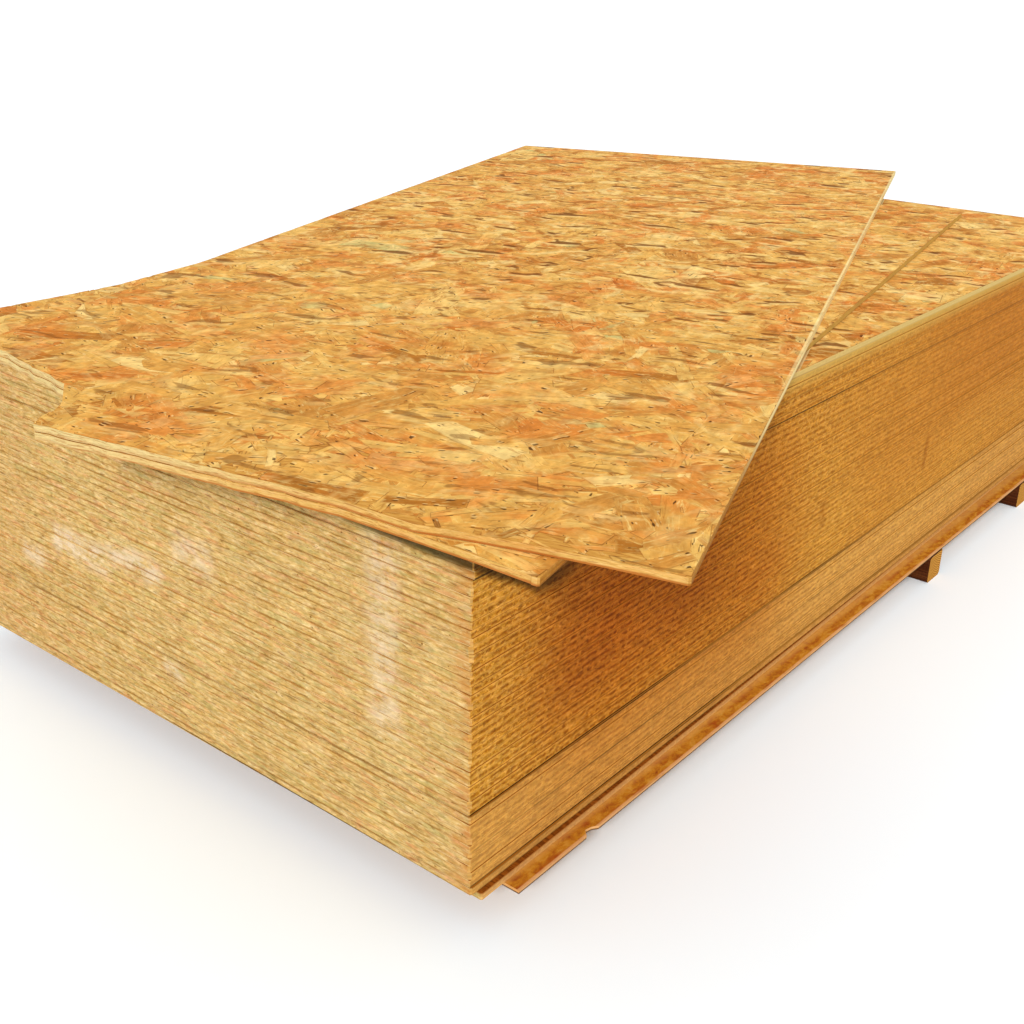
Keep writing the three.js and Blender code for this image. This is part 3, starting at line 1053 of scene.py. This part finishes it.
def strandMaterial():
    material = newMaterial("pressedStrands")
    tree = material.node_tree
    look = strandLook

    def attribute(name, output="Vector"):
        return put(tree, "ShaderNodeAttribute", attribute_name=name).outputs[output]

    spot = split(tree, attribute("strandPlace"))
    length, width, own = split(tree, attribute("strandSize"))
    run, across = times(tree, spot[0], length), times(tree, spot[1], width)
    endAway, sideAway = (
        times(tree, minus(tree, 0.5, size(tree, place)), extent)
        for place, extent in ((spot[0], length), (spot[1], width)))
    edgeAway = calc(tree, "MINIMUM", endAway, sideAway)
    inside = band(tree, edgeAway, *look["insideSpan"])
    tone = ramp(tree, attribute("strandTone", "Fac"), look["tones"], "CONSTANT")
    tone = mix(tree, inside, look["common"], tone)

    x, y = placeOf(tree)[:2]
    far = band(tree, x, *look["farSpan"])
    leaning = minus(tree, calc(tree, "FRACT", times(tree, own, look["ownSeed"])), 0.5)
    leaning = times(tree, leaning, times(tree, inside, look["ownShare"]))
    drift = plus(tree, grain(tree, x, y, 0.0, look["drift"]), leaning)
    drifted = times(tree, band(tree, drift, *look["driftSpan"]), mixValue(tree, far, *look["driftShares"]))
    tone = mix(tree, drifted, tone, look["orange"])

    fibres = grain(tree, run, across, own, look["fibres"])
    tone = tint(tree, tone, fibres, look["fibre"])
    tone = tint(tree, tone, fibres, look["cream"])
    tone = tint(tree, tone, grain(tree, run, across, own, look["knots"]), look["knot"])
    broken = band(tree, grain(tree, run, own, 0.0, look["breaks"]), *look["breakSpan"])
    rim = times(tree, band(tree, edgeAway, *look["rimSpan"]), broken)
    tone = mix(tree, times(tree, rim, look["rimShare"]), tone, look["rim"])
    for shift, mark in look["speckPair"]:
        specks = grain(tree, run, plus(tree, across, shift), own, look["specks"])
        tone = tint(tree, tone, specks, mark)

    # over and down follow the way the upper sheet lies
    upper = sheets["upper"]
    turn = math.radians(upper["turn"])
    over = plus(tree, times(tree, x, math.cos(turn)), times(tree, y, math.sin(turn)))
    down = minus(tree, times(tree, y, math.cos(turn)), times(tree, x, math.sin(turn)))
    wear = grain(tree, over, down, look["wearLayer"], look["wear"])
    for mark in look["wears"]:
        share = times(tree, band(tree, wear, *mark["span"]), mixValue(tree, far, *mark["shares"]))
        tone = mix(tree, share, tone, mark["tone"])
    # dark spots, each with a painted highlight beside it
    for shift, mark in look["spotAndHighlight"]:
        spots = grain(tree, plus(tree, over, shift), down, look["spotLayer"], look["spots"])
        share = times(tree, band(tree, spots, *look["spotSpan"]), mixValue(tree, far, *mark["shares"]))
        tone = mix(tree, share, tone, mark["tone"])
    # a pale strip of the face along the upper sheet's long edge
    nearX, nearY = (pile["near"][axis] + upper["shift"][axis] for axis in (0, 1))
    inwards = minus(tree, down, nearY * math.cos(turn) - nearX * math.sin(turn))
    outer, inner = (band(tree, inwards, *look[name]) for name in ("paleStripOuter", "paleStripInner"))
    paleStrip = times(tree, outer, inner, band(tree, x, *look["paleStripFar"]))
    tone = mix(tree, paleStrip, tone, look["paleStrip"])
    for layer, mark in look["mottles"]:
        tone = mottle(tree, tone, over, down, layer, mark)
    surface = (look[name] for name in ("rough", "bump", "bumpDepth", "gloss"))
    return finishSurface(material, tone, minus(tree, fibres, rim), *surface)


def setInputs(modifier, values):
    for item in modifier.node_group.interface.items_tree:
        if item.in_out == "INPUT" and item.name in values:
            modifier[item.identifier] = values[item.name]


farAway = (1000.0, 1000.0, 0.0)


# Where the sheet over another one lies, less a margin: its near corner, turn and size. Nothing lies
# over the uppermost sheet.
def coverOver(sheet):
    cover = sheets.get(sheet["cover"])
    if not cover:
        return farAway, 0.0, (0.0, 0.0, 0.0)
    margin = strandShape["covered"]
    turn = math.radians(cover["turn"])
    inset = Matrix.Rotation(turn, 3, "Z") @ Vector((margin, margin, 0))
    near = [pile["near"][axis] + cover["shift"][axis] + inset[axis] for axis in (0, 1)]
    return near + [0.0], turn, [extent - 2 * margin for extent in cover["size"]] + [0.0]


def layStrands(name, sheet, core, tree, material):
    work = bmesh.new()
    work.from_mesh(core.data)
    keepFaces = set(looksUp(work))
    bmesh.ops.delete(work, geom=[face for face in work.faces if face not in keepFaces], context="FACES")
    bed = meshPiece(name + "_bed", work)
    modifier = bed.modifiers.new("strands", "NODES")
    modifier.node_group = tree
    coverNear, coverTurn, coverSize = coverOver(sheet)
    shape = strandShape
    setInputs(modifier, {
        "Per Square Metre": shape["perSquareMetre"], "Seed": sheet["seed"],
        "Turn": math.radians(90 + sheet["turn"]), "Spread": shape["spread"], "Stray Share": shape["stray"],
        "Shortest": shape["shortest"], "Longest": shape["longest"], "Slim": shape["slim"],
        "Broad": shape["broad"], "Thickness": shape["thickness"], "Relief": shape["relief"],
        "Cover Near": coverNear, "Cover Turn": coverTurn, "Cover Size": coverSize, "Material": material})
    graph = bpy.context.evaluated_depsgraph_get()
    mesh = bpy.data.meshes.new_from_object(bed.evaluated_get(graph), depsgraph=graph)
    bed.modifiers.remove(modifier)
    bpy.data.objects.remove(bed)
    mesh.name = name
    piece = linked(name, mesh)
    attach(piece, "root")
    print(name, len(mesh.polygons), "faces")


tree = strandTree()
strandFinish = strandMaterial()
for key, sheet in sheets.items():
    core = thinnedSheet(key + "_sheet", sheet)
    layStrands(key + "_strands", sheet, core, tree, strandFinish)
